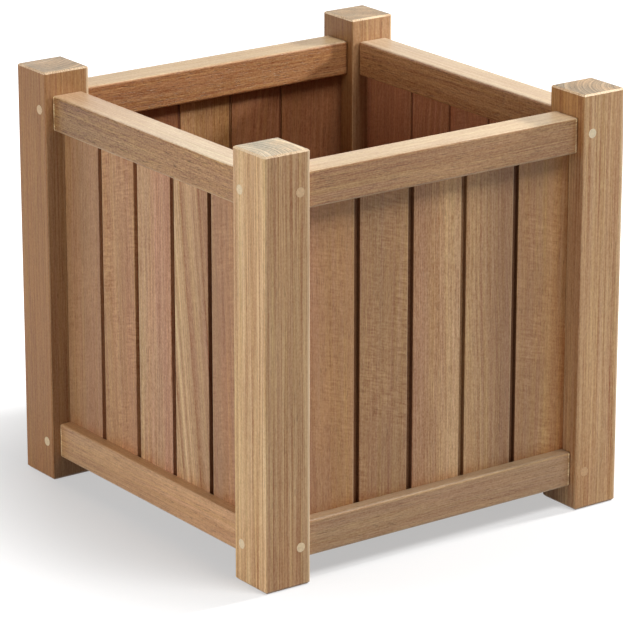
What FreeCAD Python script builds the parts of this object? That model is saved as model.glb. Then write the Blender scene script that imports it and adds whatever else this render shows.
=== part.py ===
import FreeCAD, Part
import math
import os

# A square floor planter of oiled hardwood. Four corner posts carry pegged rails, tongued boards stand in
# grooves between the rails, and a slatted floor with drainage gaps lies on two bearers inside.
# Lengths are in millimetres. The origin is the middle of the footprint on the ground, and +Z is up.

# Overall size, over the outer faces of the posts
box_width = 500.0
box_depth = 500.0
box_height = 500.0

# Corner posts
post_side = 60.0
post_arris_radius = 2.0
post_top_chamfer = 2.0
post_foot_chamfer = 3.0

# Rails, centred on the posts
rail_thickness = 40.0
rail_height = 42.0
rail_arris_radius = 3.0
rail_end_radius = 2.5  # round the shoulder, where the rail meets the post
bottom_rail_lift = 28.0  # ground to the underside of the bottom rails
top_rail_drop = 28.0  # tops of the posts down to the top rails

# Stub tenons on the rails, mitred where two of them meet inside a post
tenon_thickness = 14.0
tenon_shoulder = 5.0  # rail left beyond the tenon on the side that has no board groove
tenon_land = 3.0  # wood left between the tenon and the floor of the board groove
tenon_gap = 0.15  # play between a tenon and its mortise
mitre_gap = 0.3  # each tenon's end stays this far from the mitre

# Pegs that pin the tenons, driven in from the outer faces of the posts and cut off flush
peg_diameter = 11.0
peg_setback = 13.0  # shoulder of the rail to the middle of the peg
peg_web = 1.5  # wood left between the two pegs that cross at one corner
peg_gap = 0.1
peg_room = 0.5  # air behind the end of a peg

# Boards between the rails, each with a groove down one edge and a tongue down the other
boards_per_side = 5
board_inset = 25.0  # outer face of a post to the outer face of the boards
board_thickness = 12.0
board_pitch = 74.2  # joint to joint
board_arris_radius = 0.8
board_play = 0.2  # between a board and the side of the groove that it stands in
board_head_room = 2.0  # above the boards, inside the top rails
rail_groove_depth = 8.0
post_groove_depth = 8.0
board_entry = 6.0  # how far the edge boards reach into the posts

# The joint between two boards, open outside and tight inside
reveal = 7.8  # the open slot between two outer faces
tongue_thickness = 3.0
tongue_bite = 7.25  # how far the tongue passes the next board's front lip
tongue_play = 0.2
tongue_room = 1.0  # beyond the tongue's end
back_lap = 6.0  # middle of the slot outside to the middle of the joint inside
back_joint = 0.8

# Slatted floor on two bearers
bearer_width = 25.0
bearer_height = 25.0
slat_count = 5
slat_thickness = 15.0
slat_gap = 8.0
floor_play = 1.0  # between the floor and the rails and posts round it
floor_arris_radius = 1.5

# Countersunk screws that hold the bearers to the rails and the slats to the bearers
screw_diameter = 4.0
screw_head_diameter = 8.0
screw_head_rim = 0.4
screw_point = 5.0
screw_gap = 0.1
bearer_screw_bite = 20.0  # length in the rail
slat_screw_bite = 15.0  # length in the bearer
recess_length = 4.2
recess_width = 1.0
recess_depth = 1.8

# One overrun serves every cut that has to pass a face
overrun = 1.0

# Shares: where the tongue lies in the board's thickness, how far the joints of each side lie off its middle
# as a share of the pitch, and where the screws stand along a bearer and across a slat
tongue_setback_share = 0.6
joint_shift_shares = {"front": 0.035, "right": 0.055, "rear": 0.065, "left": 0.047}
bearer_screw_shares = (-0.32, 0.0, 0.32)
slat_screw_shares = (-0.25, 0.25)

# Levels of the rails, of their tenons and of the board grooves
tenon_height = rail_height - tenon_shoulder - rail_groove_depth - tenon_land
bottom_rail_foot = bottom_rail_lift
top_rail_foot = box_height - top_rail_drop - rail_height
groove_foot = bottom_rail_foot + rail_height - rail_groove_depth
groove_head = top_rail_foot + rail_groove_depth
rail_feet = {"bottom": bottom_rail_foot, "top": top_rail_foot}
tenon_feet = {"bottom": bottom_rail_foot + tenon_shoulder, "top": groove_head + tenon_land}

# Distances that several pieces share
post_half = post_side / 2
rail_inset = (post_side - rail_thickness) / 2
peg_length = post_side - peg_setback - peg_diameter / 2 - peg_web
floor_half_width = box_width / 2 - rail_inset - rail_thickness - floor_play
floor_half_depth = box_depth / 2 - rail_inset - rail_thickness - floor_play
bearer_half_length = box_width / 2 - post_side - floor_play
bearer_middle = box_depth / 2 - rail_inset - rail_thickness - bearer_width / 2
bearer_top = bottom_rail_foot + bearer_height
slat_width = (2 * floor_half_width - (slat_count - 1) * slat_gap) / slat_count

# The four sides, going round from the front. Each is drawn as the front is, with its outside towards -Y,
# and turned into place. Lay says which way along X its tongues point.
sides = {
    "front": {"turn": 0, "half_span": box_width / 2, "reach": box_depth / 2, "lay": 1},
    "right": {"turn": 90, "half_span": box_depth / 2, "reach": box_width / 2, "lay": -1},
    "rear": {"turn": 180, "half_span": box_width / 2, "reach": box_depth / 2, "lay": 1},
    "left": {"turn": 270, "half_span": box_depth / 2, "reach": box_width / 2, "lay": -1},
}

# The four posts in the same order, each with the way from the middle to it along X and Y
posts = {
    "front_left": {"turn": 0, "way": (-1, -1)},
    "front_right": {"turn": 90, "way": (1, -1)},
    "rear_right": {"turn": 180, "way": (1, 1)},
    "rear_left": {"turn": 270, "way": (-1, 1)},
}


def block(x0, x1, y0, y1, z0, z1):
    """A box between two corners."""
    return Part.makeBox(x1 - x0, y1 - y0, z1 - z0, FreeCAD.Vector(x0, y0, z0))


def swept(corners, travel):
    """A closed outline moved along travel. Each corner is a point and the radius that rounds it."""
    ends = []
    for index, (point, radius) in enumerate(corners):
        if radius == 0:
            ends.append((point, None, point))
            continue
        before = (corners[index - 1][0] - point).normalize()
        after = (corners[(index + 1) % len(corners)][0] - point).normalize()
        half_angle = before.getAngle(after) / 2
        setback = radius / math.tan(half_angle)
        inward = (before + after).normalize()
        crown = point + inward * (radius / math.sin(half_angle) - radius)
        ends.append((point + before * setback, crown, point + after * setback))
    edges = []
    for index, (start, crown, end) in enumerate(ends):
        if crown:
            edges.append(Part.Arc(start, crown, end).toShape())
        edges.append(Part.makeLine(end, ends[(index + 1) % len(ends)][0]))
    return Part.Face(Part.Wire(edges)).extrude(travel)


def turned(shape, degrees):
    """A copy turned about the upright axis through the origin."""
    copy = shape.copy()
    copy.rotate(FreeCAD.Vector(0, 0, 0), FreeCAD.Vector(0, 0, 1), degrees)
    return copy


def cut_all(shape, tools):
    """The shape without any of the tools."""
    return shape.cut(tools).removeSplitter() if tools else shape


def peg(x, face, z, play, room):
    """A peg along Y, or its hole when play and room widen and deepen it, from a post's outer face."""
    base = FreeCAD.Vector(x, face, z)
    return Part.makeCylinder(peg_diameter / 2 + play, peg_length + room, base, FreeCAD.Vector(0, 1, 0))


def peg_levels():
    """Heights of the pegs: the middles of the two tenons."""
    return [foot + tenon_height / 2 for foot in tenon_feet.values()]


def post():
    """A corner post about its own middle, with one rail on its +X face and one on its +Y face."""
    outline = [(-post_half, -post_half), (post_half, -post_half), (post_half, post_half), (-post_half, post_half)]
    corners = [(FreeCAD.Vector(x, y, 0), post_arris_radius) for x, y in outline]
    rounded = swept(corners, FreeCAD.Vector(0, 0, box_height))
    ends = block(-post_half, post_half, -post_half, post_half, 0, box_height)
    top_edges = [edge for edge in ends.Edges if edge.BoundBox.ZMin > box_height - post_top_chamfer]
    ends = ends.makeChamfer(post_top_chamfer, top_edges)
    foot_edges = [edge for edge in ends.Edges if edge.BoundBox.ZMax < post_foot_chamfer]
    ends = ends.makeChamfer(post_foot_chamfer, foot_edges)

    pocket = tenon_thickness / 2 + tenon_gap
    groove_near = board_inset - post_half - board_play
    groove_far = board_inset - post_half + board_thickness + board_play
    past = post_half + overrun
    tools = [block(post_half - post_groove_depth, past, groove_near, groove_far, groove_foot, groove_head)]
    for foot in tenon_feet.values():
        tools.append(block(-pocket, past, -pocket, pocket, foot - tenon_gap, foot + tenon_height + tenon_gap))
    for level in peg_levels():
        tools.append(peg(post_half - peg_setback, -post_half, level, peg_gap, peg_room))
    diagonal = FreeCAD.Vector(1, -1, 0)
    mirrored = [tool.mirror(FreeCAD.Vector(0, 0, 0), diagonal) for tool in tools]
    return cut_all(rounded.common(ends), tools + mirrored)


def rail(side, level):
    """A bottom or top rail of a side, with its board groove, two tenons and their peg holes."""
    foot = rail_feet[level]
    head = foot + rail_height
    half_length = side["half_span"] - post_side
    near = rail_inset - side["reach"]
    far = near + rail_thickness
    section = [(near, foot), (far, foot), (far, head), (near, head)]
    corners = [(FreeCAD.Vector(-half_length, y, z), rail_arris_radius) for y, z in section]
    body = swept(corners, FreeCAD.Vector(2 * half_length, 0, 0))
    end_edges = [edge for edge in body.Edges if abs(edge.CenterOfMass.x) > half_length - rail_end_radius]
    body = body.makeFillet(rail_end_radius, end_edges)

    tenon_foot = tenon_feet[level]
    tenon_half = tenon_thickness / 2
    middle = post_half - side["reach"]
    holes = []
    for end in (-1, 1):
        post_middle = end * (side["half_span"] - post_half)
        root = end * (half_length - overrun)
        outline = [
            (root, middle - tenon_half),
            (post_middle + end * (tenon_half - mitre_gap), middle - tenon_half),
            (post_middle - end * (tenon_half + mitre_gap), middle + tenon_half),
            (root, middle + tenon_half),
        ]
        tenon_corners = [(FreeCAD.Vector(x, y, tenon_foot), 0) for x, y in outline]
        body = body.fuse(swept(tenon_corners, FreeCAD.Vector(0, 0, tenon_height)))
        peg_place = end * (half_length + peg_setback)
        holes.append(peg(peg_place, -side["reach"], tenon_foot + tenon_height / 2, peg_gap, peg_room))

    groove_near = board_inset - side["reach"] - board_play
    groove_far = board_inset - side["reach"] + board_thickness + board_play
    if level == "bottom":
        holes.append(block(-half_length, half_length, groove_near, groove_far, groove_foot, head + overrun))
    else:
        holes.append(block(-half_length, half_length, groove_near, groove_far, foot - overrun, groove_head))
    return cut_all(body, holes)


def joints_of(side_name):
    """Middles of the slots between the boards of a side, along the way its tongues point."""
    shift = joint_shift_shares[side_name] * board_pitch
    middle = (boards_per_side - 2) / 2
    return [shift + (index - middle) * board_pitch for index in range(boards_per_side - 1)]


def board(side, index, joints):
    """One board of a side. Its edge is plain where it stands in a post."""
    lay = side["lay"]
    outer = board_inset - side["reach"]
    inner = outer + board_thickness
    edge = side["half_span"] - post_side + board_entry
    tongue_near = outer + (board_thickness - tongue_thickness) * tongue_setback_share
    tongue_far = tongue_near + tongue_thickness

    if index == boards_per_side - 1:
        tongue_side = [(edge, outer, board_arris_radius), (edge, inner, board_arris_radius)]
    else:
        joint = joints[index]
        tip = joint + reveal / 2 + tongue_bite
        heel = joint + back_lap - back_joint / 2
        tongue_side = [
            (joint - reveal / 2, outer, board_arris_radius),
            (joint - reveal / 2, tongue_near, 0),
            (tip, tongue_near, 0),
            (tip, tongue_far, 0),
            (heel, tongue_far, 0),
            (heel, inner, board_arris_radius),
        ]
    if index == 0:
        groove_side = [(-edge, inner, board_arris_radius), (-edge, outer, board_arris_radius)]
    else:
        joint = joints[index - 1]
        lip = joint + reveal / 2
        heel = joint + back_lap + back_joint / 2
        bottom = lip + tongue_bite + tongue_room
        groove_side = [
            (heel, inner, board_arris_radius),
            (heel, tongue_far + tongue_play, 0),
            (bottom, tongue_far + tongue_play, 0),
            (bottom, tongue_near - tongue_play, 0),
            (lip, tongue_near - tongue_play, 0),
            (lip, outer, board_arris_radius),
        ]
    corners = [(FreeCAD.Vector(lay * x, y, groove_foot), radius) for x, y, radius in tongue_side + groove_side]
    return swept(corners, FreeCAD.Vector(0, 0, groove_head - board_head_room - groove_foot))


def screw(bite, hold, room):
    """A screw pointing down from the flat of its head at zero, or its hole when room widens it."""
    length = hold + bite
    shank = screw_diameter / 2 + room
    head = screw_head_diameter / 2 + room
    throat = -screw_head_rim - (head - shank)
    profile = [(0, 0), (head, 0), (head, -screw_head_rim), (shank, throat)]
    profile += [(shank, screw_point - length - room), (0, -length - room), (0, 0)]
    face = Part.Face(Part.makePolygon([FreeCAD.Vector(x, 0, z) for x, z in profile]))
    return face.revolve(FreeCAD.Vector(0, 0, 0), FreeCAD.Vector(0, 0, 1), 360)


def driven(shape):
    """A screw with the crossed recess for the driver."""
    long_half = recess_length / 2
    thin_half = recess_width / 2
    first = block(-long_half, long_half, -thin_half, thin_half, -recess_depth, overrun)
    second = block(-thin_half, thin_half, -long_half, long_half, -recess_depth, overrun)
    return shape.cut([first, second])


def bearer_screws(room):
    """The screws of the front bearer, from its inner face into the rail, or their holes."""
    face = bearer_width / 2 - bearer_middle
    level = bottom_rail_foot + bearer_height / 2
    found = []
    for share in bearer_screw_shares:
        shape = screw(bearer_screw_bite, bearer_width, room)
        if room == 0:
            shape = driven(shape)
        shape.rotate(FreeCAD.Vector(0, 0, 0), FreeCAD.Vector(1, 0, 0), -90)
        shape.translate(FreeCAD.Vector(2 * share * bearer_half_length, face, level))
        found.append(shape)
    return found


def slat_middle(index):
    """Middle of a slat across the floor."""
    return (index - (slat_count - 1) / 2) * (slat_width + slat_gap)


def slat_screws(index, room):
    """The four screws of a slat, from its top into the bearers, or their holes."""
    found = []
    for share in slat_screw_shares:
        for way in (-1, 1):
            shape = screw(slat_screw_bite, slat_thickness, room)
            if room == 0:
                shape = driven(shape)
            x = slat_middle(index) + share * slat_width
            shape.translate(FreeCAD.Vector(x, way * bearer_middle, bearer_top + slat_thickness))
            found.append(shape)
    return found


def bearer():
    """The front floor bearer, with the holes of every screw that enters it."""
    near = -bearer_middle - bearer_width / 2
    far = near + bearer_width
    section = [(near, bottom_rail_foot), (far, bottom_rail_foot), (far, bearer_top), (near, bearer_top)]
    corners = [(FreeCAD.Vector(-bearer_half_length, y, z), floor_arris_radius) for y, z in section]
    body = swept(corners, FreeCAD.Vector(2 * bearer_half_length, 0, 0))
    holes = bearer_screws(screw_gap)
    for index in range(slat_count):
        holes += slat_screws(index, screw_gap)
    return cut_all(body, holes)


def slat(index):
    """A floor slat from front to back. The outer ones are notched round the posts."""
    left = slat_middle(index) - slat_width / 2
    right = left + slat_width
    foot = bearer_top
    head = foot + slat_thickness
    section = [(left, foot), (right, foot), (right, head), (left, head)]
    corners = [(FreeCAD.Vector(x, -floor_half_depth, z), floor_arris_radius) for x, z in section]
    body = swept(corners, FreeCAD.Vector(0, 2 * floor_half_depth, 0))
    clear_x = box_width / 2 - post_side - floor_play
    clear_y = box_depth / 2 - post_side - floor_play
    past_x = floor_half_width + overrun
    past_y = floor_half_depth + overrun
    corner_cut = block(clear_x, past_x, clear_y, past_y, foot - overrun, head + overrun)
    tools = slat_screws(index, screw_gap)
    if index == slat_count - 1:
        tools += [corner_cut, corner_cut.mirror(FreeCAD.Vector(0, 0, 0), FreeCAD.Vector(0, 1, 0))]
    if index == 0:
        other = corner_cut.mirror(FreeCAD.Vector(0, 0, 0), FreeCAD.Vector(1, 0, 0))
        tools += [other, other.mirror(FreeCAD.Vector(0, 0, 0), FreeCAD.Vector(0, 1, 0))]
    return cut_all(body, tools)


def post_places():
    """Every post, moved to its corner."""
    shape = post()
    found = {}
    for name, place in posts.items():
        x = place["way"][0] * (box_width / 2 - post_half)
        y = place["way"][1] * (box_depth / 2 - post_half)
        copy = turned(shape, place["turn"])
        copy.translate(FreeCAD.Vector(x, y, 0))
        found["post_" + name] = [copy]
    return found


def rail_places():
    """Every rail. The front and rear bottom rails have the holes of the bearer screws."""
    found = {}
    for name, side in sides.items():
        for level in rail_feet:
            shape = rail(side, level)
            if level == "bottom" and name in ("front", "rear"):
                shape = cut_all(shape, bearer_screws(screw_gap))
            found[level + "_rail_" + name] = [turned(shape, side["turn"])]
    return found


def board_places():
    """Every board, numbered from left to right as seen from outside."""
    found = {}
    for name, side in sides.items():
        joints = joints_of(name)
        for index in range(boards_per_side):
            number = index + 1 if side["lay"] > 0 else boards_per_side - index
            found["board_" + name + "_" + str(number)] = [turned(board(side, index, joints), side["turn"])]
    return found


def peg_places():
    """The pegs of each post: two for each of the two sides that meet there."""
    post_names = list(posts)
    found = {"pegs_" + name: [] for name in post_names}
    for order, side in enumerate(sides.values()):
        for end, post_name in ((-1, post_names[order]), (1, post_names[(order + 1) % len(post_names)])):
            place = end * (side["half_span"] - post_side + peg_setback)
            for level in peg_levels():
                shape = peg(place, -side["reach"], level, 0, 0)
                found["pegs_" + post_name].append(turned(shape, side["turn"]))
    return found


def floor_places():
    """Bearers, slats and the two groups of screws."""
    found = {"floor_bearer_front": [bearer()]}
    found["floor_bearer_rear"] = [turned(found["floor_bearer_front"][0], sides["rear"]["turn"])]
    for index in range(slat_count):
        found["floor_slat_" + str(index + 1)] = [slat(index)]
    front_screws = bearer_screws(0)
    found["bearer_screws"] = front_screws + [turned(shape, sides["rear"]["turn"]) for shape in front_screws]
    found["floor_screws"] = [shape for index in range(slat_count) for shape in slat_screws(index, 0)]
    return found


os.makedirs("parts", exist_ok=True)
nodes = {**post_places(), **rail_places(), **board_places(), **peg_places(), **floor_places()}
for node, solids in nodes.items():
    whole = solids[0] if len(solids) == 1 else Part.makeCompound(solids)
    whole.exportStep("parts/" + node + ".step")
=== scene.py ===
import math

import bpy
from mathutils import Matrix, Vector


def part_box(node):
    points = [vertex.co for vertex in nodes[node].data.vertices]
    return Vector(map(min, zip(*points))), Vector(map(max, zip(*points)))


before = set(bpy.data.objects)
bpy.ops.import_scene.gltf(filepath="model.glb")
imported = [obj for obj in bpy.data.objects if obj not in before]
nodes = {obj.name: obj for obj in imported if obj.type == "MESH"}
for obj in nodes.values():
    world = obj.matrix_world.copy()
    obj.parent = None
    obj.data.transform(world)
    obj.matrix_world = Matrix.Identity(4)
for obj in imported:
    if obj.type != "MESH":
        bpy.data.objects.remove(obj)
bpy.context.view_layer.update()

# Every shape is the solids' own. This adds their materials, a camera, lamps and a floor to stand on

# Millimetres in a metre. Places and sizes on the wood are in millimetres, all others in metres
MM = 1000.0
WHITE = (1.0, 1.0, 1.0)

# The camera stands where it sees the box as the photograph does, at its angle and distance
PHOTO_WIDTH = 623
FOCAL_PIXELS = 3716.0
SENSOR = 36.0
CLIP_END = 100
CAMERA_AZIMUTH = math.radians(-35.78)
CAMERA_ELEVATION = math.radians(18.12)
CAMERA_DISTANCE = 4.3582
AIM_HEIGHT = 0.2
AIM_RIGHT = -0.0068
AIM_UP = 0.0145

# The floor and how much it glows where it is seen: FLOOR_LIFT nearer to the middle than FLOOR_NEAR,
# and 1 beyond FLOOR_FAR. WORLD_LEVEL is how bright the world is as a light
FLOOR_SIZE = 24.0
FLOOR_ALBEDO = 0.38
FLOOR_NEAR = 0.3
FLOOR_FAR = 0.62
FLOOR_LIFT = 0.47
WORLD_LEVEL = 0.1

# The lamps: where each stands, how wide it is, and the level that it gives a white surface at LAMP_AIM
LAMP_AIM = Vector((0, 0, 0.3))
LAMPS = {
    "front_lamp": ((0.9, -2.8, 5.6), 2.2, 0.78),
    "key_lamp": ((1.6, -0.35, 1.12), 0.16, 1.0),
    "left_lamp": ((-3.3, -0.2, 0.9), 1.8, 0.43),
    "rear_lamp": ((0.3, 3.2, 0.9), 1.8, 0.36),
}

# Tones of the oiled wood and of the screws, each written as 0 to 255
TONES = {
    "honey": (222, 181, 133),
    "sand": (190, 150, 107),
    "straw": (200, 159, 116),
    "tan": (193, 147, 102),
    "salmon": (188, 138, 98),
    "oak": (182, 143, 103),
    "clay": (178, 133, 89),
    "nut": (168, 127, 88),
    "amber": (176, 126, 77),
    "gold": (214, 170, 124),
    "hazel": (165, 123, 82),
    "dusk": (156, 117, 84),
    "peach": (172, 129, 94),
    "umber": (166, 118, 74),
    "sienna": (169, 113, 78),
    "copper": (166, 116, 74),
    "henna": (142, 92, 58),
    "cream": (203, 175, 139),
    "shell": (214, 190, 158),
    "flax": (194, 168, 136),
    "linen": (191, 161, 122),
    "ledge": (208, 158, 108),
    "drift": (147, 121, 93),
    "bone": (203, 184, 155),
    "stone": (170, 149, 121),
    "husk": (167, 142, 112),
    "birch": (206, 172, 132),
    "maple": (222, 191, 152),
    "pearl": (221, 203, 170),
    "wax": (236, 210, 170),
    "ivory": (252, 226, 186),
    "glue": (240, 212, 164),
    # The pale tone of the painted highlight on arrises and chamfers
    "worn": (230, 204, 168),
    "fawn": (168, 131, 94),
    "rose": (196, 146, 112),
    "coral": (178, 133, 97),
    "bronze": (150, 106, 62),
    "brass": (173, 127, 78),
    "moss": (151, 110, 67),
    "dune": (193, 158, 122),
    "topaz": (209, 157, 110),
    "steel": (196, 194, 188),
}

# For each side, the axis that it faces, as a number, and the way that it faces along it
OUTWARD = {"front": (1, -1), "right": (0, 1), "rear": (1, 1), "left": (0, -1)}

# The axes across, aside and along the grain of a piece whose grain runs along the one named
GRAIN_ORDER = {"x": (1, 2, 0), "y": (2, 0, 1), "z": (0, 1, 2)}

# The posts: tone of the faces along Y, tone of the faces along X, tone of the end grain, streaks. The
# two side tones are partly the wood's own and partly painted light and shade: paler on sides that catch
# more light, darker on sides in shade
POST_LOOKS = {
    "post_front_left": ("oak", "honey", "bone", 1.0),
    "post_front_right": ("sand", "oak", "husk", 0.7),
    "post_rear_left": ("fawn", "umber", "husk", 0.3),
    "post_rear_right": ("nut", "bronze", "husk", 0.5),
}

# The tones above the rails of the faces along Y and of the face that looks left, where a post differs
# there, and the heights from which to which they take over. The change is painted light and shade: below
# the rails these faces lie in the recess beside the boards, and their tones paint in its light and shade
POST_HEADS = {"post_front_right": ("sand", "amber"), "post_rear_left": ("hazel", "umber")}
POST_HEAD_RAMP = (415, 445)

# The stain at the foot of a post: the heights at which it starts and is full, and how strong it gets
POST_FOOT = (110, 20, 0.0, 0.2)

# How a post's grain follows from its streaks: what it has with none, and how much more with full ones
POST_GRAIN = {"Streak": (0.0, 1.3), "Figure": (0.3, 0.7), "Lines": (0.7, 0.8)}

# How wide the pale band on a post's front right arris is, a painted highlight where light from the right
# catches it, and how softly it ends
POST_ARRIS = 3.6
ARRIS_BLUR = 1.0

# The rails: tone of the outer face, of the inner face and of the top, and how rough the sawing is. The
# inner tones are darker, as painted shade inside the box. The top rails' tops are paler and creamier than
# their sides, partly the wood's own and partly painted light and sheen, and the front and right bottom
# rails' tops are darker, as painted shade in front of the boards
RAIL_LOOKS = {
    "top_rail_front": ("hazel", "clay", "cream", 1.35),
    "top_rail_right": ("clay", "umber", "flax", 1.7),
    "top_rail_rear": ("clay", "copper", "linen", 1.5),
    "top_rail_left": ("brass", "clay", "shell", 2.2),
    "bottom_rail_front": ("fawn", "oak", "drift", 0.9),
    "bottom_rail_right": ("fawn", "clay", "drift", 0.9),
    "bottom_rail_rear": ("sand", "clay", "ledge", 0.9),
    "bottom_rail_left": ("topaz", "tan", "gold", 0.9),
}

# The tones of the outer face and of the top at the far end, where a rail differs there, and the places
# along it from which to which they take over
RAIL_FAR = {"top_rail_left": ("moss", "dune"), "bottom_rail_left": ("tan", "gold")}
RAIL_FAR_RAMP = (-100, 170)

# How a rail's grain follows from its sawing: what its sides have with none, how much more for each unit
# of it, and what the top has
RAIL_GRAIN = {
    "Pores": (0.15, 0.15, 0.06),
    "Lines": (0.35, 0.35, 0.5),
    "Fibres": (0.2, 0.8, 0.75),
    "Streak": (0.5, 0.25, 0.35),
    "Hue": (0.0, 1.0, 0.5),
}

# The glue that was pressed out of a rail's joint: how far before the post's face it starts and is full,
# the size of its drops, and how much of it they are
GLUE_START = 4.2
GLUE_FULL = 3.0
GLUE_DROPS = ((7, 7, 7), 1, 0.5)
GLUE_RAMP = (-0.12, 0.04, 0.3, 0.95)

# The pegs: tones of the upper and lower one along Y and of the upper and lower one along X, and the
# heights between which the lower ones end and the upper ones begin
PEG_LOOKS = {
    "pegs_front_left": ("birch", "wax", "ivory", "ivory"),
    "pegs_front_right": ("pearl", "straw", "maple", "birch"),
    "pegs_rear_left": ("ivory", "pearl", "maple", "wax"),
    "pegs_rear_right": ("pearl", "maple", "birch", "maple"),
}
PEG_RAMP = (240, 260)

# The pegs' end grain: its layers of noise, as in LAYERS below, how much each counts, how far a group's
# pattern lies from the last one's, and how rough it is
PEG_LAYERS = {"grains": ((2.4, 2.4, 2.4), 3, 0.6), "patches": ((90, 90, 90), 1, 0.5)}
PEG_WEIGHTS = {"grains": 0.6, "patches": 0.4}
PEG_SHIFT = (13.0, 7.0, 3.0)
PEG_ROUGH = 0.6

# The screws: the noise of their brushing, how much it changes them, and how rough they are without it
BRUSH = ((0.3, 0.3, 0.3), 2, 0.6)
BRUSH_WEIGHT = 0.3
SCREW_ROUGH = 0.34

# How dark the painted shade in the slot to the right of some boards is. The others take SLOT_DARK
SLOTS = {"board_left_1": 0.35, "board_left_2": 0.35, "board_left_3": 0.6, "board_front_3": 0.7}
SLOT_DARK = 0.95

# The depths at which a slot's painted shade starts and is full, how far before the inner face it has
# ended and is still full, and the shares of a board's width from which to which its right slot takes over
# from its left one
SLOT_OUTER = (0.2, 1.2)
SLOT_INNER = (0.6, 1.2)
SLOT_TURN = (0.45, 0.55)

# Where the visible faces of a board end: the outer one short of its tongue's tip, and the inner one
# short of the tongue's tip and of the groove's front lip
OUTER_SHORT = 15.05
INNER_SHORT = 5.55
INNER_START = 2.5

# The dark seam between the inner faces, by the distance from where they end
SEAM_RAMP = (0.45, 0.1, 0.0, 0.95)

# The pale edge of a board's outer face beside its tongue, a painted highlight where its arris catches the
# light: the distances from the edge and the depths at which it has ended and is full, and how strong it
# is
EDGE_RAMP = (1.6, 0.6)
EDGE_DEPTH = (1.0, 0.4)
EDGE_HIGHLIGHT = 0.5

# The darker, redder band at a board's foot by height, and the shares of the width at which its red stain
# starts and is full
BOARD_FOOT = (88, 68, 0.0, 0.4)
STAIN_RAMP = (0.72, 0.92)

# The boards: tone of the left edge and of the right edge seen from outside, the red stain at the
# right edge, the strength of the rings, how far the grain leans across a metre of length, and the
# strength of the lines and of the ripples across them
BOARD_LOOKS = {
    "board_front_1": ("peach", "clay", 0.0, 0.3, 0.01, 0.3, 0.7),
    "board_front_2": ("nut", "nut", 0.0, 0.3, -0.02, 0.6, 1.3),
    "board_front_3": ("coral", "straw", 0.0, 0.25, 0.01, 1.1, 0.2),
    "board_front_4": ("sand", "dusk", 0.0, 0.6, 0.02, 0.8, 0.4),
    "board_front_5": ("nut", "clay", 0.85, 0.35, -0.01, 0.4, 0.9),
    "board_left_1": ("nut", "coral", 0.0, 0.35, 0.01, 0.6, 0.5),
    "board_left_2": ("tan", "salmon", 0.0, 0.3, -0.02, 0.9, 1.2),
    "board_left_3": ("straw", "rose", 0.0, 0.55, 0.01, 1.4, 0.2),
    "board_left_4": ("straw", "coral", 0.0, 2.5, -0.11, 0.8, 0.3),
    "board_left_5": ("coral", "salmon", 0.0, 0.5, -0.03, 0.5, 0.8),
    "board_right_1": ("clay", "coral", 0.0, 0.5, 0.05, 0.6, 0.5),
    "board_right_2": ("nut", "fawn", 0.0, 0.35, 0.01, 0.9, 0.3),
    "board_right_3": ("oak", "clay", 0.4, 0.4, -0.03, 0.4, 1.0),
    "board_right_4": ("fawn", "nut", 0.0, 0.8, 0.08, 0.8, 0.3),
    "board_right_5": ("clay", "oak", 0.0, 0.35, 0.01, 0.5, 0.7),
    "board_rear_1": ("oak", "clay", 0.0, 0.4, -0.02, 0.6, 0.8),
    "board_rear_2": ("sand", "tan", 0.0, 0.7, -0.09, 0.8, 0.2),
    "board_rear_3": ("nut", "oak", 0.5, 0.35, 0.01, 1.0, 0.4),
    "board_rear_4": ("tan", "sand", 0.0, 0.35, 0.02, 0.4, 1.0),
    "board_rear_5": ("salmon", "tan", 0.0, 0.5, 0.04, 0.7, 0.5),
}

# A board's streaks, its fibres without lines, and how much more it has of them for each unit of lines
BOARD_STREAK = 0.35
BOARD_FIBRES = 0.7
FIBRES_WITH_LINES = 0.45

# How far apart the rings of a board are. The others take the group's own
BOARD_RINGS = {"board_left_4": 12.0}

# The share of the width at which a board is halfway between its two tones. The others are so at MIDDLE
BOARD_TURNS = {"board_left_4": 0.75, "board_front_4": 0.37, "board_left_1": 0.4, "board_front_3": 0.4}
MIDDLE = 0.5

# The boards' inner faces: the tone of each side, darker and redder than outside as painted shade inside
# the box, and the tones at the left and right edges, seen from outside, of a board that differs from its
# side. On board_rear_3 the inner face is paler towards its right edge, seen from outside, as a painted
# patch of light
INSIDES = {"front": "henna", "right": "sienna", "rear": "henna", "left": "henna"}
BOARD_INSIDES = {"board_rear_3": ("bronze", "clay")}

# How much of a face's normal lies along an axis when the face starts to count as looking that way, and
# when it counts in full: for inner sides, for a rail's top, for faces along X, for end grain, and for a
# post's end grain, the chamfer round it and the face that looks left
SIDE_RAMP = (0.4, 0.9)
TOP_RAMP = (0.45, 0.9)
FACING_RAMP = (0.5, 0.9)
END_RAMP = (0.8, 0.95)
POST_END_RAMP = (0.9, 0.97)
POST_RIM_START = (0.3, 0.6)
POST_RIM_END = (0.95, 0.85)
LEFT_RAMP = (-0.4, -0.9)

# The pale lower edge of a rail, where its normal points both out and down, and how strong it is. It is a
# painted highlight, for light thrown up from the floor
UNDER_RAMP = (1.1, 1.35)
UNDER_HIGHLIGHT = 0.5

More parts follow.
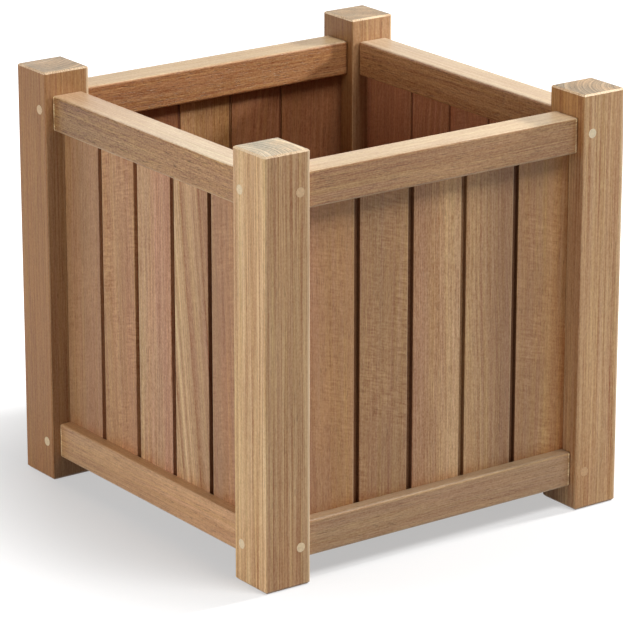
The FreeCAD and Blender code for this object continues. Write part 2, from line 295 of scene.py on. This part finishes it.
# The layers of noise in the wood: how long their lumps are across, aside and along the grain, how many
# finer layers each has, and how strong these are. The rings are noise along the way from the pith
LAYERS = {
    "wander": ((60, 60, 260), 2, 0.5),
    "streaks": ((4.2, 4.2, 600), 2, 0.6),
    "lines": ((1.6, 1.6, 220), 1, 0.6),
    "fibres": ((1.2, 1.2, 14), 2, 0.6),
    "mottle": ((2.0, 2.0, 2.8), 1, 0.5),
    "waves": ((14, 14, 2.7), 1, 0.5),
    "flecks": ((1.1, 1.1, 12), 1, 0.5),
    "clouds": ((34, 34, 110), 2, 0.5),
    "hues": ((22, 22, 300), 1, 0.5),
    "veins": ((4.6, 4.6, 300), 1, 0.5),
    "checks": ((3.0, 3.0, 1), 3, 0.7),
}
RING_NOISE = (3, 0.6)

# Layers that are read from another place, so that they don't follow those of a like size
SHIFTS = {"hues": (311, 127, 53), "veins": (97, 211, 31)}

# How far the ripples climb along the grain for each millimetre across it
WAVE_SLANT = 0.3

# How much each layer counts in the fine grain, in the way from one tone to the other, in the bands and
# veins of hue, in the stain's patches, in the end grain's level and hue, in the painted highlight on
# arrises and chamfers, in the roughness and in the height
FINE_WEIGHTS = {"fibres": 0.9, "mottle": 0.7}
CLOUD_WEIGHT = 0.3
BLEND_WEIGHTS = {"clouds": 0.5, "hues": 0.3}
BAND_WEIGHTS = {"hues": 0.9, "clouds": 0.6}
VEIN_WEIGHTS = {"veins": 2.0, "mottle": 0.8}
PATCH_WEIGHTS = {"hues": 1.0, "clouds": 1.4}
END_WEIGHTS = {"ring_lines": -0.4, "checks": 1.1, "clouds": 0.8, "rings": 0.9}
END_HUE_WEIGHTS = {"hues": 2.0, "clouds": 2.0, "checks": 2.0}
HIGHLIGHT_WEIGHTS = {"lines": 1.0, "clouds": 1.0}
ROUGH_WEIGHTS = {"fibres": 0.3, "pores": 0.4}
HEIGHT_WEIGHTS = {"fibres": 0.8, "lines": 0.7, "streaks": 0.4, "pores": -2.0}

# The values from which to which these fade in: pores, ripples, the other tone, the stain's patches, the
# dark lines of rings on end grain, and the painted highlight. Two more numbers say from what to what
PORE_RAMP = (0.58, 0.72)
RIPPLE_RAMP = (-0.16, 0.14)
BLEND_RAMP = (0.15, 0.85)
PATCH_RAMP = (-0.25, 0.15, 0.2, 1.0)
RING_LINE_RAMP = (0.06, 0.0)
HIGHLIGHT_RAMP = (-0.2, 0.1, 0.3, 0.8)

# How much the grain moves red, green and blue: a light line is paler, and a dark one is redder
GRAIN_TINT = (0.68, 1.05, 1.26)

# How much a band, a vein and a change of hue in the end grain add to red, green and blue, what a stain
# leaves of them, and what the painted shade in a slot and the dark seam of a joint leave of them
BAND_TINT = (0.1, -0.03, -0.13)
VEIN_TINT = (-0.02, -0.06, 0.14)
END_TINT = (0.1, 0.0, -0.1)
STAIN_TINT = (0.92, 0.66, 0.48)
SLOT_TINT = (0.4, 0.3, 0.24)

# Each piece has its pith this far from its middle, turned by PITH_TURN radians from the last one's, and
# its stretch of the pattern this far from the last one's
PITH_REACH = 70.0
PITH_TURN = 2.4
PATTERN_STEP = (137.0, 71.0, 911.0)

# The relief that the wood's height gives: how strong, and how high in metres
BUMP_STRENGTH = 0.6
BUMP_DISTANCE = 0.0003

# Noise lies between 0 and 1, about this middle
NOISE_MIDDLE = 0.5

# Inputs and outputs of the wood group, and the values that most pieces share
GROUP_INPUTS = {
    "NodeSocketVector": ("Place", "Pith"),
    "NodeSocketFloat": (
        "Blend", "End", "Edge", "Stain", "Slot",
        "Ring", "Wave", "Figure", "Streak", "Lines", "Fibres", "Ripples", "Pores", "Hue", "Rough",
    ),
    "NodeSocketColor": ("Tone", "Other", "Cut"),
}
GROUP_OUTPUTS = {"Color": "NodeSocketColor", "Roughness": "NodeSocketFloat", "Height": "NodeSocketFloat"}
GROUP_DEFAULTS = {
    "Edge": 0.0,
    "Stain": 0.0,
    "Slot": 0.0,
    "Ring": 5.0,
    "Wave": 8.0,
    "Figure": 0.4,
    "Streak": 0.5,
    "Lines": 0.7,
    "Fibres": 1.2,
    "Ripples": 0.0,
    "Pores": 0.2,
    "Hue": 1.0,
    "Rough": 0.5,
}

# The sockets of a Mix node that its colours use, by number, since other kinds of value share their names
MIX_FACTOR, MIX_FIRST, MIX_SECOND = 0, 6, 7
MIX_RESULT = 2


def srgb(red, green, blue):
    """A colour written as 0 to 255 becomes the linear one that the shaders use."""
    linear = []
    for part in (red, green, blue):
        part = part / 255
        linear.append(part / 12.92 if part <= 0.04045 else ((part + 0.055) / 1.055) ** 2.4)
    return (*linear, 1.0)


def tone(name):
    return srgb(*TONES[name])


def weigh(layers, weights):
    """The layers that weights names, each with its weight, as Tree.total takes them."""
    return [(layers[name], weight) for name, weight in weights.items()]


class Tree:
    """Adds nodes to a material or a group. An input takes a socket, a number or a tuple."""

    def __init__(self, tree):
        self.tree = tree

    def put(self, socket, value):
        if isinstance(value, bpy.types.NodeSocket):
            self.tree.links.new(value, socket)
        else:
            socket.default_value = value

    def add(self, kind, inputs=None, **settings):
        node = self.tree.nodes.new(kind)
        for name, value in settings.items():
            setattr(node, name, value)
        for key, value in (inputs or {}).items():
            self.put(node.inputs[key], value)
        return node

    def math(self, operation, a, b=0.0, c=0.0):
        node = self.add("ShaderNodeMath", {0: a, 1: b, 2: c}, operation=operation)
        return node.outputs[0]

    def vector(self, operation, a, b=(0.0, 0.0, 0.0)):
        node = self.add("ShaderNodeVectorMath", {0: a, 1: b}, operation=operation)
        return node.outputs[0]

    def scale(self, a, level):
        """A vector or a colour times a number."""
        start = a if isinstance(a, bpy.types.NodeSocket) else tuple(a[:3])
        node = self.add("ShaderNodeVectorMath", {0: start, "Scale": level}, operation="SCALE")
        return node.outputs[0]

    def total(self, *terms):
        """The sum of values times weights."""
        found = 0.0
        for value, weight in terms:
            found = self.math("MULTIPLY_ADD", value, weight, found)
        return found

    def centred(self, value):
        """Noise that swings about zero."""
        return self.math("SUBTRACT", value, NOISE_MIDDLE)

    def length(self, a):
        return self.add("ShaderNodeVectorMath", {0: a}, operation="LENGTH").outputs["Value"]

    def split(self, a):
        return self.add("ShaderNodeSeparateXYZ", {0: a}).outputs

    def join(self, x, y, z):
        return self.add("ShaderNodeCombineXYZ", {0: x, 1: y, 2: z}).outputs[0]

    def smooth(self, value, low, high, start=0.0, end=1.0):
        """Goes softly from start to end while value goes from low to high."""
        inputs = {"Value": value, "From Min": low, "From Max": high, "To Min": start, "To Max": end}
        node = self.add("ShaderNodeMapRange", inputs, interpolation_type="SMOOTHSTEP")
        return node.outputs[0]

    def noise(self, place, size, detail, roughness):
        """Noise whose lumps are about size long, in the units of place, one size for each axis."""
        shrink = tuple(1 / part for part in size)
        inputs = {
            "Vector": self.vector("MULTIPLY", place, shrink),
            "Scale": 1.0,
            "Detail": detail,
            "Roughness": roughness,
        }
        return self.add("ShaderNodeTexNoise", inputs)

    def waver(self, place, size, detail, roughness):
        """The same noise as one number that swings about zero."""
        return self.centred(self.noise(place, size, detail, roughness).outputs["Fac"])

    def noise_line(self, value, detail, roughness):
        """Noise along one number."""
        inputs = {"W": value, "Scale": 1.0, "Detail": detail, "Roughness": roughness}
        node = self.add("ShaderNodeTexNoise", inputs, noise_dimensions="1D")
        return node.outputs["Fac"]

    def mix(self, a, b, factor):
        node = self.add("ShaderNodeMix", data_type="RGBA")
        self.put(node.inputs[MIX_FACTOR], factor)
        self.put(node.inputs[MIX_FIRST], a)
        self.put(node.inputs[MIX_SECOND], b)
        return node.outputs[MIX_RESULT]


def make_wood_group():
    """Wood as a solid: growth rings round a pith, streaks, fibres and pores along the third axis.

    Place is in millimetres. Blend goes from Tone to Other, End is 1 on end grain, Edge is 1 where a
    highlight is painted pale on an arris or chamfer, Stain is 1 where the wood is darker and redder, and
    Slot is 1 where shade is painted deep in the slots between boards and on the dark seams of inner
    joints.
    """
    group = bpy.data.node_groups.new("wood", "ShaderNodeTree")
    for kind, names in GROUP_INPUTS.items():
        for name in names:
            group.interface.new_socket(name=name, in_out="INPUT", socket_type=kind)
    for name, kind in GROUP_OUTPUTS.items():
        group.interface.new_socket(name=name, in_out="OUTPUT", socket_type=kind)
    t = Tree(group)
    given = t.add("NodeGroupInput").outputs
    result = t.add("NodeGroupOutput")

    wander = t.noise(given["Place"], *LAYERS["wander"]).outputs["Color"]
    wander = t.vector("SUBTRACT", wander, (NOISE_MIDDLE,) * 3)
    reach = t.join(given["Wave"], given["Wave"], 0.0)
    place = t.vector("ADD", given["Place"], t.vector("MULTIPLY", wander, reach))

    from_pith = t.split(t.vector("SUBTRACT", place, given["Pith"]))
    radius = t.length(t.join(from_pith[0], from_pith[1], 0.0))
    rings = t.centred(t.noise_line(t.math("DIVIDE", radius, given["Ring"]), *RING_NOISE))

    layers = {"rings": rings}
    for name in ("streaks", "lines", "fibres", "mottle", "clouds"):
        layers[name] = t.waver(place, *LAYERS[name])
    for name, shift in SHIFTS.items():
        layers[name] = t.waver(t.vector("ADD", place, shift), *LAYERS[name])
    flecks = t.noise(place, *LAYERS["flecks"]).outputs["Fac"]
    layers["pores"] = t.math("MULTIPLY", t.smooth(flecks, *PORE_RAMP), given["Pores"])
    sides = t.split(place)
    climb = t.math("MULTIPLY", t.total((sides[0], 1.0), (sides[1], 1.0)), WAVE_SLANT)
    waves = t.waver(t.vector("ADD", place, t.join(0.0, 0.0, climb)), *LAYERS["waves"])

    grain = t.total(
        (rings, given["Figure"]), (layers["streaks"], given["Streak"]), (layers["lines"], given["Lines"]),
    )
    fine = t.math("MULTIPLY", given["Fibres"], t.total(*weigh(layers, FINE_WEIGHTS)))
    rippled = t.math("MULTIPLY", given["Ripples"], t.smooth(layers["clouds"], *RIPPLE_RAMP))
    ripples = t.math("MULTIPLY", waves, rippled)
    grain = t.total((grain, 1.0), (fine, 1.0), (layers["clouds"], CLOUD_WEIGHT), (ripples, 1.0))
    share = t.total((given["Blend"], 1.0), *weigh(layers, BLEND_WEIGHTS))
    base = t.mix(given["Tone"], given["Other"], t.smooth(share, *BLEND_RAMP))
    band = t.scale(BAND_TINT, t.total(*weigh(layers, BAND_WEIGHTS)))
    vein = t.scale(VEIN_TINT, t.total(*weigh(layers, VEIN_WEIGHTS)))
    tint = t.vector("ADD", t.scale(t.vector("ADD", band, vein), given["Hue"]), WHITE)
    pale = t.vector("ADD", t.scale(GRAIN_TINT, grain), WHITE)
    pale = t.scale(pale, t.math("SUBTRACT", 1.0, layers["pores"]))
    color = t.vector("MULTIPLY", t.vector("MULTIPLY", base, tint), pale)
    patches = t.smooth(t.total(*weigh(layers, PATCH_WEIGHTS)), *PATCH_RAMP)
    stained = t.vector("MULTIPLY", color, STAIN_TINT)
    color = t.mix(color, stained, t.math("MULTIPLY", given["Stain"], patches))

    layers["checks"] = t.waver(t.vector("MULTIPLY", given["Place"], (1, 1, 0)), *LAYERS["checks"])
    layers["ring_lines"] = t.smooth(t.math("ABSOLUTE", rings), *RING_LINE_RAMP)
    end_level = t.total(*weigh(layers, END_WEIGHTS))
    end_tint = t.vector("ADD", t.scale(END_TINT, t.total(*weigh(layers, END_HUE_WEIGHTS))), WHITE)
    end_color = t.scale(t.vector("MULTIPLY", given["Cut"], end_tint), t.math("ADD", 1.0, end_level))
    color = t.mix(color, end_color, given["End"])
    # Painted highlight: arrises and chamfers are made paler, in patches
    worn = t.smooth(t.total(*weigh(layers, HIGHLIGHT_WEIGHTS)), *HIGHLIGHT_RAMP)
    color = t.mix(color, tone("worn"), t.math("MULTIPLY", given["Edge"], worn))
    # Painted shade deep in the slots between boards, and the dark seams of the inner joints
    color = t.mix(color, t.vector("MULTIPLY", color, SLOT_TINT), given["Slot"])

    t.put(result.inputs["Color"], color)
    t.put(result.inputs["Roughness"], t.total((given["Rough"], 1.0), *weigh(layers, ROUGH_WEIGHTS)))
    t.put(result.inputs["Height"], t.total(*weigh(layers, HEIGHT_WEIGHTS)))
    return group


wood_group = make_wood_group()


class Piece:
    """Where a node is and how it lies, as sockets in the material that it gets."""

    def __init__(self, name, axis):
        self.order = GRAIN_ORDER[axis]
        self.axis = "xyz".index(axis)
        low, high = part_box(name)
        self.low = low * MM
        self.high = high * MM
        self.material = bpy.data.materials.new(name)
        self.material.use_nodes = True
        self.shader = self.material.node_tree.nodes["Principled BSDF"]
        self.tree = Tree(self.material.node_tree)
        coordinates = self.tree.add("ShaderNodeTexCoord").outputs
        self.place = self.tree.split(self.tree.vector("MULTIPLY", coordinates["Object"], (MM, MM, MM)))
        self.normal = self.tree.split(coordinates["Normal"])
        self.facing = self.tree.split(self.tree.vector("ABSOLUTE", coordinates["Normal"]))
        nodes[name].data.materials.clear()
        nodes[name].data.materials.append(self.material)

    def along_grain(self, values):
        """The three values in the order across, aside, along."""
        return tuple(values[index] for index in self.order)

    def highlight_arris(self, width):
        """1 along the arris between the faces that look along +X and -Y, where a highlight is painted
        pale.
        """
        t = self.tree
        corner = t.math("SUBTRACT", self.place[0], self.place[1])
        start = self.high[0] - self.low[1] - width
        return t.smooth(corner, start - ARRIS_BLUR, start + ARRIS_BLUR)

    def finish(self, seed, gloss=0.5, lean=(0.0, 0.0), **look):
        """Joins the wood group to the shader with this piece's own pith and stretch of pattern.

        Lean is how far the grain moves across and aside for each unit along. Look is for the group.
        """
        t = self.tree
        middle = self.along_grain((self.low + self.high) / 2)
        angle = seed * PITH_TURN
        offset = Vector([seed * step for step in PATTERN_STEP])
        pith = Vector((
            middle[0] + PITH_REACH * math.cos(angle), middle[1] + PITH_REACH * math.sin(angle), 0.0,
        ))
        across, aside, along = self.along_grain(self.place)
        rise = t.math("SUBTRACT", along, middle[2])
        across = t.math("MULTIPLY_ADD", rise, lean[0], across)
        aside = t.math("MULTIPLY_ADD", rise, lean[1], aside)
        inputs = {
            **GROUP_DEFAULTS,
            "Place": t.vector("ADD", t.join(across, aside, along), tuple(offset)),
            "Pith": tuple(pith + offset),
            "End": t.smooth(self.facing[self.axis], *END_RAMP),
            **look,
        }
        wood = t.add("ShaderNodeGroup", None, node_tree=wood_group)
        for key, value in inputs.items():
            t.put(wood.inputs[key], value)
        relief = {"Strength": BUMP_STRENGTH, "Distance": BUMP_DISTANCE, "Height": wood.outputs["Height"]}
        bump = t.add("ShaderNodeBump", relief)
        t.put(self.shader.inputs["Base Color"], wood.outputs["Color"])
        t.put(self.shader.inputs["Roughness"], wood.outputs["Roughness"])
        t.put(self.shader.inputs["Normal"], bump.outputs[0])
        t.put(self.shader.inputs["Specular IOR Level"], gloss)


def dress_post(name, seed):
    """Blend tells the faces along X from the faces along Y. The top's chamfer and the front right arris
    are painted pale, as highlights.
    """
    along_y, along_x, cut, streak = POST_LOOKS[name]
    head_y, head_x = POST_HEADS.get(name, (along_y, along_x))
    post = Piece(name, "z")
    t = post.tree
    # Painted light and shade: the tones change at the height of the rails
    head = t.smooth(post.place[2], *POST_HEAD_RAMP)
    left_head = t.math("MULTIPLY", head, t.smooth(post.normal[0], *LEFT_RAMP))
    # Painted highlight: the chamfer round the top is made pale
    above = t.smooth(post.normal[2], *POST_RIM_START)
    rim = t.math("MULTIPLY", above, t.smooth(post.normal[2], *POST_RIM_END))
    post.finish(
        seed,
        Tone=t.mix(tone(along_y), tone(head_y), head),
        Other=t.mix(tone(along_x), tone(head_x), left_head),
        Cut=tone(cut),
        Blend=t.smooth(post.facing[0], *FACING_RAMP),
        Edge=t.math("MAXIMUM", rim, post.highlight_arris(POST_ARRIS)),
        End=t.smooth(post.facing[2], *POST_END_RAMP),
        Stain=t.smooth(post.place[2], *POST_FOOT),
        Fibres=0.8, Ring=7.0, Wave=3.0, Hue=0.8, gloss=0.35,
        **{key: none + more * streak for key, (none, more) in POST_GRAIN.items()},
    )


def dress_rail(name, seed):
    """Blend tells the top face from the others."""
    outer, inner, top, sawing = RAIL_LOOKS[name]
    far_outer, far_top = RAIL_FAR.get(name, (outer, top))
    index, sign = OUTWARD[name.split("_")[2]]
    run = 1 - index
    rail = Piece(name, "x" if index == 1 else "y")
    t = rail.tree
    # Painted shade: the inner face takes its darker tone
    inward = t.smooth(t.math("MULTIPLY", rail.normal[index], -sign), *SIDE_RAMP)
    far = t.smooth(rail.place[run], *RAIL_FAR_RAMP)
    sides = t.mix(t.mix(tone(outer), tone(far_outer), far), tone(inner), inward)
    up = t.smooth(rail.normal[2], *TOP_RAMP)
    outward = t.math("MULTIPLY", rail.normal[index], sign)
    # Painted highlight on the lower outer arris, for light thrown up from the floor
    under = t.smooth(t.math("SUBTRACT", outward, rail.normal[2]), *UNDER_RAMP)
    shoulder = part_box("post_rear_right")[0][run] * MM
    if name.endswith(("front", "left")):
        drops = t.smooth(t.waver(t.join(*rail.place), *GLUE_DROPS), *GLUE_RAMP)
        band = t.smooth(rail.place[run], shoulder - GLUE_START, shoulder - GLUE_FULL)
        sides = t.mix(sides, tone("glue"), t.math("MULTIPLY", band, drops))
    grain = {}
    for key, (none, more, on_top) in RAIL_GRAIN.items():
        rough = min(sawing, 1.0) if key == "Hue" else sawing
        grain[key] = t.smooth(up, 0.0, 1.0, none + more * rough, on_top)
    rail.finish(
        seed,
        Tone=sides,
        # The top's tone is partly painted light and sheen on the top rails, and painted shade on the
        # front and right ledges
        Other=t.mix(tone(top), tone(far_top), far),
        Cut=tone("stone"),
        Blend=up,
        Edge=t.math("MULTIPLY", under, UNDER_HIGHLIGHT),
        Wave=9.0, Rough=0.42,
        **grain,
    )


def dress_board(name, seed):
    """Tone is at the left edge seen from outside, and Other at the right edge."""
    left, right, stain, figure, lean, lines, ripples = BOARD_LOOKS[name]
    side, number = name[:-1], int(name[-1])
    side_name = name.split("_")[1]
    index, sign = OUTWARD[side_name]
    across = 1 - index
    board = Piece(name, "z")
    t = board.tree

    outer = board.high[index] if sign > 0 else -board.low[index]
    depth = t.math("SUBTRACT", outer, t.math("MULTIPLY", board.place[index], sign))
    thickness = board.high[index] - board.low[index]
    turn = sign if index == 0 else -sign
    start = board.low[across] if turn > 0 else board.high[across]
    width = board.high[across] - board.low[across]
    share = t.math("MULTIPLY", t.math("SUBTRACT", board.place[across], start), turn / width)
    inner = t.smooth(t.math("MULTIPLY", board.normal[index], -sign), *SIDE_RAMP)

    # Painted shade on the walls deep in the slot between boards. The seam is the dark line of the inner
    # joint
    before = SLOTS.get(f"{side}{number - 1}", SLOT_DARK)
    after = SLOTS.get(name, SLOT_DARK)
    inner_end = t.smooth(depth, *(thickness - short for short in SLOT_INNER))
    slot = t.math("MULTIPLY", t.smooth(depth, *SLOT_OUTER), inner_end)
    slot = t.math("MULTIPLY", slot, t.smooth(share, *SLOT_TURN, before, after))
    from_start = t.math("SUBTRACT", board.place[across], board.low[across] + INNER_START)
    to_end = t.math("SUBTRACT", board.high[across] - INNER_SHORT, board.place[across])
    seam = t.smooth(t.math("MINIMUM", from_start, to_end), *SEAM_RAMP)
    slot = t.math("MAXIMUM", slot, t.math("MULTIPLY", inner, seam))

    foot = t.smooth(board.place[2], *BOARD_FOOT)
    stain = t.math("MAXIMUM", foot, t.math("MULTIPLY", t.smooth(share, *STAIN_RAMP), stain))
    # Painted shade: the inner faces take the darker inside tones, and on board_rear_3 a painted patch of
    # light
    inside = INSIDES[side_name]
    inside_left, inside_right = BOARD_INSIDES.get(name, (inside, inside))
    blend = t.math("ADD", share, MIDDLE - BOARD_TURNS.get(name, MIDDLE))

    # Painted highlight on the arris beside the tongue, where the light catches it
    edge_place = board.high[across] - OUTER_SHORT
    from_edge = t.math("ABSOLUTE", t.math("SUBTRACT", board.place[across], edge_place))
    tongue_free = board.high[across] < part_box("post_rear_right")[0][across] * MM
    worn = t.smooth(depth, *EDGE_DEPTH, 0.0, EDGE_HIGHLIGHT if tongue_free else 0.0)
    board.finish(
        seed,
        Tone=t.mix(tone(left), tone(inside_left), inner),
        Other=t.mix(tone(right), tone(inside_right), inner),
        Cut=tone("stone"),
        Blend=blend,
        Slot=slot,
        Stain=stain,
        Edge=t.math("MULTIPLY", t.smooth(from_edge, *EDGE_RAMP), worn),
        Figure=figure,
        Ring=BOARD_RINGS.get(name, GROUP_DEFAULTS["Ring"]),
        Streak=BOARD_STREAK,
        Lines=lines,
        Ripples=ripples,
        Fibres=BOARD_FIBRES + FIBRES_WITH_LINES * lines,
        gloss=0.35,
        lean=(lean, 0.0) if across == 0 else (0.0, lean),
    )


def dress_peg(name, seed):
    """Pale end grain."""
    upper_y, lower_y, upper_x, lower_x = PEG_LOOKS[name]
    pegs = Piece(name, "z")
    t = pegs.tree
    place = t.vector("ADD", t.join(*pegs.place), tuple(seed * step for step in PEG_SHIFT))
    layers = {key: t.waver(place, *layer) for key, layer in PEG_LAYERS.items()}
    level = t.math("ADD", 1.0, t.total(*weigh(layers, PEG_WEIGHTS)))
    upper = t.smooth(pegs.place[2], *PEG_RAMP)
    along_y = t.mix(tone(lower_y), tone(upper_y), upper)
    along_x = t.mix(tone(lower_x), tone(upper_x), upper)
    base = t.mix(along_y, along_x, t.smooth(pegs.facing[0], *FACING_RAMP))
    t.put(pegs.shader.inputs["Base Color"], t.scale(base, level))
    t.put(pegs.shader.inputs["Roughness"], PEG_ROUGH)


def dress_screws(name):
    """Brushed stainless steel."""
    screws = Piece(name, "z")
    t = screws.tree
    brush = t.waver(t.join(*screws.place), *BRUSH)
    level = t.math("ADD", 1.0, t.math("MULTIPLY", brush, BRUSH_WEIGHT))
    t.put(screws.shader.inputs["Base Color"], t.scale(tone("steel"), level))
    t.put(screws.shader.inputs["Metallic"], 1.0)
    t.put(screws.shader.inputs["Roughness"], t.math("MULTIPLY_ADD", brush, BRUSH_WEIGHT, SCREW_ROUGH))


def dress_floor(name, seed):
    """The slats and bearers of the planter's own floor, left rough."""
    piece = Piece(name, "x" if "bearer" in name else "y")
    piece.finish(
        seed, Tone=tone("tan"), Other=tone("clay"), Cut=tone("stone"), Blend=0.4, Rough=0.7, Pores=0.3,
    )


def dress_nodes():
    for seed, name in enumerate(sorted(nodes), 1):
        if name in POST_LOOKS:
            dress_post(name, seed)
        elif name in RAIL_LOOKS:
            dress_rail(name, seed)
        elif name in BOARD_LOOKS:
            dress_board(name, seed)
        elif name in PEG_LOOKS:
            dress_peg(name, seed)
        elif name.endswith("screws"):
            dress_screws(name)
        else:
            dress_floor(name, seed)


def sphere_point(azimuth, elevation):
    """The direction from the object to a camera at that azimuth and elevation."""
    flat = math.cos(elevation)
    return Vector((math.sin(azimuth) * flat, -math.cos(azimuth) * flat, math.sin(elevation)))


def make_camera():
    back = sphere_point(CAMERA_AZIMUTH, CAMERA_ELEVATION)
    right = Vector((math.cos(CAMERA_AZIMUTH), math.sin(CAMERA_AZIMUTH), 0))
    up = back.cross(right)
    aim = Vector((0, 0, AIM_HEIGHT)) + right * AIM_RIGHT + up * AIM_UP
    data = bpy.data.cameras.new("camera")
    data.sensor_width = SENSOR
    data.lens = FOCAL_PIXELS / PHOTO_WIDTH * SENSOR
    data.clip_end = CLIP_END
    camera = bpy.data.objects.new("camera", data)
    camera.location = aim + back * CAMERA_DISTANCE
    camera.rotation_euler = back.to_track_quat("Z", "Y").to_euler()
    bpy.context.scene.collection.objects.link(camera)
    bpy.context.scene.camera = camera


def seen_directly(t):
    """1 for rays of the camera, of gloss and of glass."""
    path = t.add("ShaderNodeLightPath").outputs
    gloss = t.math("MAXIMUM", path["Is Glossy Ray"], path["Is Transmission Ray"])
    return t.math("MAXIMUM", path["Is Camera Ray"], gloss)


def make_floor():
    """A pale floor. What sees it directly sees it lifted to white, with the object's shadow on it."""
    mesh = bpy.data.meshes.new("floor")
    half = FLOOR_SIZE / 2
    corners = [(-half, -half, 0), (half, -half, 0), (half, half, 0), (-half, half, 0)]
    mesh.from_pydata(corners, [], [(0, 1, 2, 3)])
    floor = bpy.data.objects.new("floor", mesh)
    bpy.context.scene.collection.objects.link(floor)
    material = bpy.data.materials.new("floor")
    material.use_nodes = True
    t = Tree(material.node_tree)
    material.node_tree.nodes.clear()
    diffuse = t.add("ShaderNodeBsdfDiffuse", {"Color": (FLOOR_ALBEDO, FLOOR_ALBEDO, FLOOR_ALBEDO, 1)})
    distance = t.length(t.add("ShaderNodeTexCoord").outputs["Object"])
    lift = t.smooth(distance, FLOOR_NEAR, FLOOR_FAR, FLOOR_LIFT, 1.0)
    lift = t.math("MULTIPLY", seen_directly(t), lift)
    glow = t.add("ShaderNodeEmission", {"Color": (*WHITE, 1), "Strength": lift})
    both = t.add("ShaderNodeAddShader", {0: diffuse.outputs[0], 1: glow.outputs[0]})
    t.add("ShaderNodeOutputMaterial", {"Surface": both.outputs[0]})
    mesh.materials.append(material)


def make_world():
    """White where it is seen directly, and dim as a light."""
    world = bpy.data.worlds.new("world")
    world.use_nodes = True
    bpy.context.scene.world = world
    t = Tree(world.node_tree)
    world.node_tree.nodes.clear()
    level = t.smooth(seen_directly(t), 0.0, 1.0, WORLD_LEVEL, 1.0)
    sky = t.add("ShaderNodeBackground", {"Color": (*WHITE, 1), "Strength": level})
    t.add("ShaderNodeOutputWorld", {"Surface": sky.outputs[0]})


def make_lamp(name, place, width, level):
    """A square lamp that points at the box."""
    data = bpy.data.lights.new(name, "AREA")
    data.shape = "SQUARE"
    data.size = width
    back = Vector(place) - LAMP_AIM
    data.energy = level * math.pi ** 2 * back.length_squared
    lamp = bpy.data.objects.new(name, data)
    lamp.location = place
    lamp.rotation_euler = back.to_track_quat("Z", "Y").to_euler()
    bpy.context.scene.collection.objects.link(lamp)


dress_nodes()
make_camera()
make_floor()
make_world()
for lamp_name, lamp in LAMPS.items():
    make_lamp(lamp_name, *lamp)
bpy.context.scene.view_settings.view_transform = "Standard"
